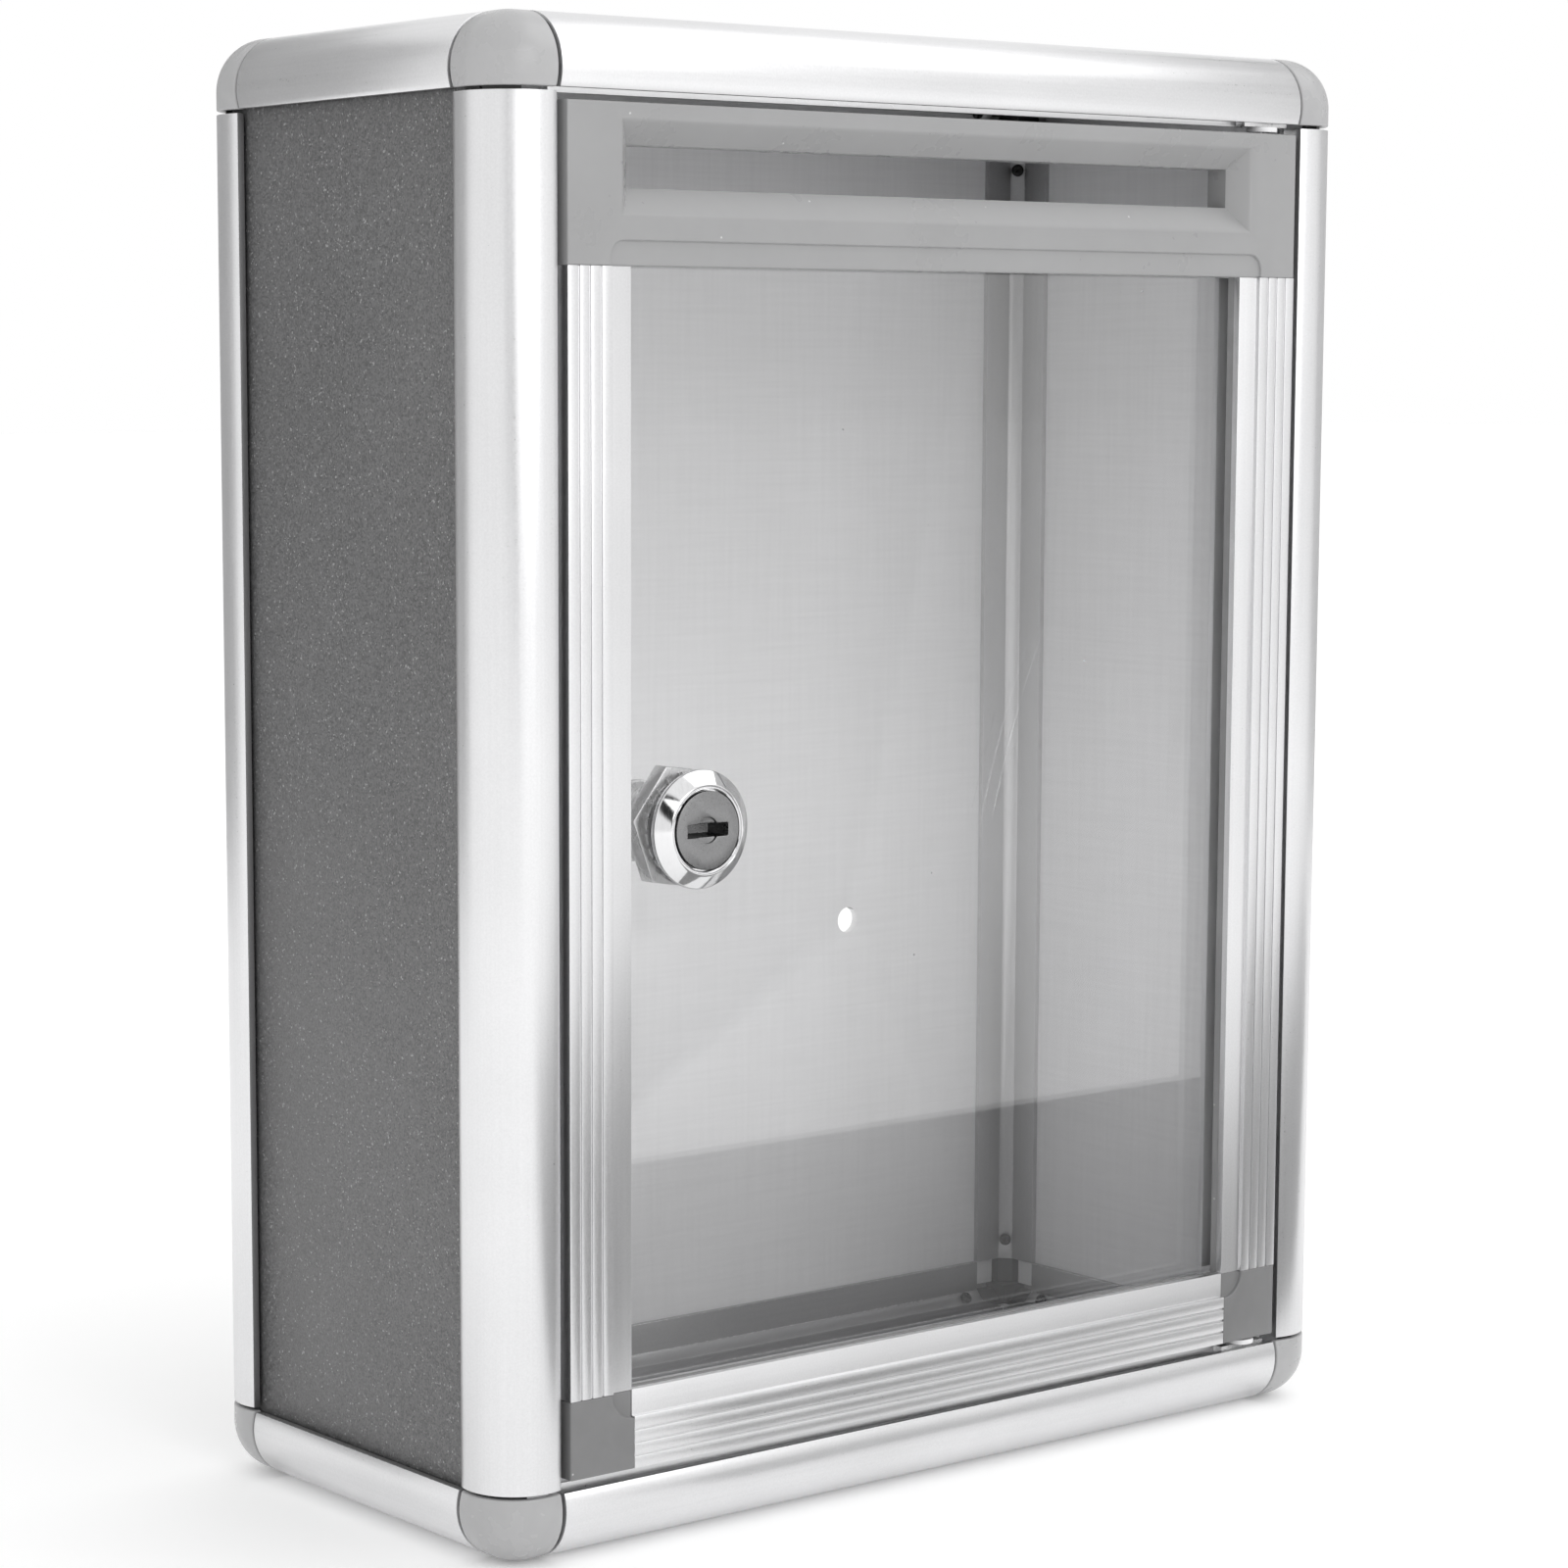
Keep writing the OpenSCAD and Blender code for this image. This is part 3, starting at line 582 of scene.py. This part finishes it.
def washer_tree():
    """A spring washer: a flat ring with twisted teeth all round, lying in the X-Z plane."""
    tree, size = size_tree("toothed_washer", ["Outer radius", "Hole radius", "Thickness", "Teeth", "Depth",
                                              "Centre X", "Centre Z"])
    rim = maths(tree, "MULTIPLY", size["Outer radius"], 0.90)
    thin = maths(tree, "MULTIPLY", size["Thickness"], 0.7)
    disc = add(tree, "GeometryNodeMeshCylinder", {"Vertices": 72, "Radius": rim, "Depth": thin})
    hole = add(tree, "GeometryNodeMeshCylinder", {"Vertices": 72, "Radius": size["Hole radius"],
               "Depth": 10 * MM})
    ring = add(tree, "GeometryNodeMeshBoolean", {0: disc.outputs[0], 1: hole.outputs[0]},
               operation="DIFFERENCE")
    tooth_size = combined(tree, maths(tree, "MULTIPLY", size["Outer radius"], 0.13),
                          maths(tree, "MULTIPLY", size["Outer radius"], 0.12),
                          maths(tree, "MULTIPLY", thin, 0.6))
    tooth = add(tree, "GeometryNodeMeshCube", {"Size": tooth_size})
    twisted = moved(tree, tooth.outputs[0], (0, 0, 0), (math.radians(24), 0, 0))
    circle = add(tree, "GeometryNodeMeshCircle", {"Vertices": size["Teeth"],
                 "Radius": maths(tree, "MULTIPLY", size["Outer radius"], 0.93)})
    out = add(tree, "GeometryNodeInputPosition").outputs[0]
    turn = add(tree, "FunctionNodeAlignRotationToVector", {"Vector": out}, axis="X")
    teeth = add(tree, "GeometryNodeInstanceOnPoints", {"Points": circle.outputs[0], "Instance": twisted,
                "Rotation": turn.outputs[0]})
    both = joined(tree, ring.outputs[0], teeth.outputs[0])
    upright = moved(tree, both, combined(tree, size["Centre X"], size["Depth"], size["Centre Z"]),
                    (math.radians(90), 0, 0))
    close_tree(tree, upright, size["Material"])
    return tree


def lock_washer():
    """The washer behind the nut."""
    low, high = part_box("lock_washer")
    kept(grown("toothed_lock_washer", washer_tree(), bpy.data.meshes.new("washer_start"), {
        "Outer radius": (high.x - low.x) / 2, "Hole radius": 7.45 * MM, "Thickness": high.y - low.y,
        "Teeth": 22.0, "Depth": (low.y + high.y) / 2, "Centre X": LOCK_CENTRE.x, "Centre Z": LOCK_CENTRE.z,
        "Material": FINISH["lock_zinc"]}), "lock_washer")


def turned_rows(rows, around=96):
    """A closed mesh from rows of (radius, depth): radius may be a function of the angle and the depth.
    The rows run round the lock's axis, and depth is measured back from the door's face."""
    front = cad_bounds[0][1]
    points, faces = [], []
    for radius, depth in rows:
        for k in range(around):
            angle = 2 * math.pi * k / around
            reach = (radius(angle, depth) if callable(radius) else radius) * MM
            points.append((LOCK_CENTRE.x + reach * math.cos(angle), front + depth * MM,
                           LOCK_CENTRE.z + reach * math.sin(angle)))
    count = len(rows)
    for row in range(count):
        after = (row + 1) % count
        for k in range(around):
            step = (k + 1) % around
            faces.append((row * around + k, row * around + step, after * around + step, after * around + k))
    return points, faces


def threaded(angle, depth, radius=7.3, flat=6.6, pitch=1.0, cut=0.42):
    """Radius of the lock's barrel: a helical thread, cut off by a flat on each side."""
    phase = (depth / pitch + angle / (2 * math.pi)) % 1.0
    ridge = radius - cut * abs(2 * phase - 1)
    return min(ridge, flat / max(abs(math.cos(angle)), 0.01))


def lock_housing():
    """Chrome bezel with a conical band and a double rim, on a flatted, threaded barrel."""
    bezel = [(7.3, 4.4), (10.65, 4.4), (10.82, 4.3), (10.9, 4.1), (10.9, 3.5), (10.84, 3.34), (10.72, 3.22),
             (8.5, 1.58), (8.36, 1.47), (8.2, 1.42), (8.06, 1.46), (7.98, 1.58), (7.92, 1.74), (7.8, 1.74),
             (7.74, 1.6), (7.64, 1.52), (7.54, 1.6), (7.5, 1.8), (7.5, 3.0), (6.0, 3.0), (6.0, 21.4)]
    start, end, step = 4.42, 21.4, 1 / 6
    count = int((end - start) / step)
    barrel = [(threaded, end - i * step) for i in range(count)]
    points, faces = turned_rows(bezel + barrel)
    mesh = bpy.data.meshes.new("lock_housing")
    mesh.from_pydata(points, [], faces)
    form = bmesh.new()
    form.from_mesh(mesh)
    bmesh.ops.recalc_face_normals(form, faces=form.faces)
    form.to_mesh(mesh)
    form.free()
    mesh.materials.append(FINISH["lock_chrome"])
    mesh.materials.append(FINISH["lock_zinc"])
    for face in mesh.polygons:
        if face.center.y > cad_bounds[0][1] + 4.41 * MM:
            face.material_index = 1
    piece = bpy.data.objects.new("chrome_lock_housing", mesh)
    bpy.context.scene.collection.objects.link(piece)
    plain_mesh(piece, 28)
    kept(piece, "lock_housing")


def edge_profiles():
    """Posts and rails: bright outside; the faces that look into the box get a rougher copy of the aluminium
    that is painted darker, as painted shade.
    """
    centre = (Vector(cad_bounds[0]) + Vector(cad_bounds[1])) / 2
    for node in NODES:
        if node.startswith(("post_", "rail_")):
            low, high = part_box(node)
            size = high - low
            run = "xyz"[max(range(3), key=lambda i: size[i])]
            piece = finished(node, 0.18 * MM, [PROFILE[run], CUT])
            # Faces that look into the box take the darker copy: painted shade.
            piece.data.materials.append(SHADED_INSIDE_PROFILE[run])
            for face in piece.data.polygons:
                if face.material_index == 0 and face.normal.dot(centre - face.center) > 0:
                    face.material_index = 2


def sheet_panels():
    """Panels: the sparkling face looks out, and the smooth one looks in."""
    centre = (Vector(cad_bounds[0]) + Vector(cad_bounds[1])) / 2
    for node in NODES:
        if node.startswith("panel_"):
            piece = finished(node, 0.08 * MM, [OUTSIDE])
            piece.data.materials.append(INSIDE)
            for face in piece.data.polygons:
                if face.normal.dot(centre - face.center) > 0:
                    face.material_index = 1


def corner_pieces():
    """Caps, connectors and the door's corners."""
    for node in NODES:
        if node.startswith("cap_"):
            finished(node, 0.35 * MM, [FINISH["cap_plastic"]], 3, 40)
        if node.startswith("core_"):
            finished(node, 0.2 * MM, [FINISH["core_plastic"]], 1)
        if node.startswith("door_corner_"):
            finished(node, 0.35 * MM, [FINISH["corner_plastic"]], 3)


def door_frame():
    """The door: the lip of its profiles behind the pane is painted a lighter grey, as painted light where
    that narrow channel lies in shade.
    """
    for node, run in (("door_stile_left", "z"), ("door_stile_right", "z"), ("door_rail", "x")):
        piece = finished(node, 0.1 * MM, [PROFILE[run]])
        piece.data.materials.append(FINISH["painted_light_lip"])
        # Faces on the rear lip behind the pane take the lighter grey: painted light.
        for face in piece.data.polygons:
            if face.normal.y < -0.9 and face.center.y > cad_bounds[0][1] + 7.2 * MM:
                face.material_index = 1
    slot_moulding()
    finished("door_pane", 0.15 * MM, [FINISH["clear_acrylic"]], 1)
    finished("pane_gasket", 0.1 * MM, [FINISH["gasket_rubber"]], 1)


def slot_moulding():
    """The moulded head of the door: its mouth and its outline are rounded, and its arch has soft corners."""
    node = "slot_moulding"
    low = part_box(node)[0]
    form = bmesh.new()
    form.from_mesh(welded(node))
    bmesh.ops.remove_doubles(form, verts=form.verts, dist=0.02 * MM)

    def front_edges(wanted):
        """The sharp edges near the front whose middle, in millimetres, is wanted."""
        return [edge for edge in form.edges
                if len(edge.link_faces) == 2 and edge.calc_face_angle(0) > math.radians(22)
                and edge.calc_length() > 0.3 * MM and all(v.co.y < low.y + 1.0 * MM for v in edge.verts)
                and wanted(sum((v.co for v in edge.verts), Vector()) / 2 / MM)]

    def rounded(edges, radius, steps):
        """Rounds those edges to a radius in millimetres."""
        bmesh.ops.bevel(form, geom=edges, offset=radius * MM, segments=steps, profile=0.5,
                        affect="EDGES", clamp_overlap=False)

    face, foot = low.y / MM, low.z / MM
    arch, mouth_foot, mouth_head, mouth_half = foot + 12, foot + 14, foot + 33, 79.5
    rounded(front_edges(lambda mid: face + 0.2 < mid.y < face + 0.5 and mid.z > arch - 2), 3.0, 8)
    rounded(front_edges(lambda mid: mouth_foot < mid.z < mouth_head and abs(mid.x) < mouth_half), 1.4, 5)
    rounded(front_edges(lambda mid: mid.z < arch or mid.z > mouth_head + 1 or abs(mid.x) > mouth_half + 0.5),
            0.3, 3)
    mesh = bpy.data.meshes.new(node)
    form.to_mesh(mesh)
    form.free()
    mesh.materials.append(FINISH["moulding_plastic"])
    piece = bpy.data.objects.new("rounded_slot_moulding", mesh)
    bpy.context.scene.collection.objects.link(piece)
    plain_mesh(piece)
    kept(piece, node)


def lock_and_hinge():
    """The small metal parts."""
    for node, edge in (("lock_plug", 0.22), ("lock_nut", 0.35), ("lock_cam", 0.25), ("cam_bolt", 0.25),
                       ("hinge_pin_top", 0.15), ("hinge_pin_bottom", 0.15), ("hinge_washers", 0.2),
                       ("lock_keeper", 0.25), ("keeper_rivets", 0.3)):
        finished(node, edge * MM, [FINISH[SLOT[node]]])
    lock_housing()
    lock_washer()
    frame_screws()


camera()
studio_walls()
pale_floor()
cards()
soft_light("key_box", (0.9, -0.5, 1.5), (0, 0, 0.14), 1.2, 1.2, 0.9)
soft_light("front_box", (-0.15, -1.7, 0.95), (0, 0, 0.14), 1.6, 1.0, 1.5)
edge_profiles()
sheet_panels()
corner_pieces()
door_frame()
lock_and_hinge()

scene = bpy.context.scene
scene.view_settings.view_transform = "Standard"
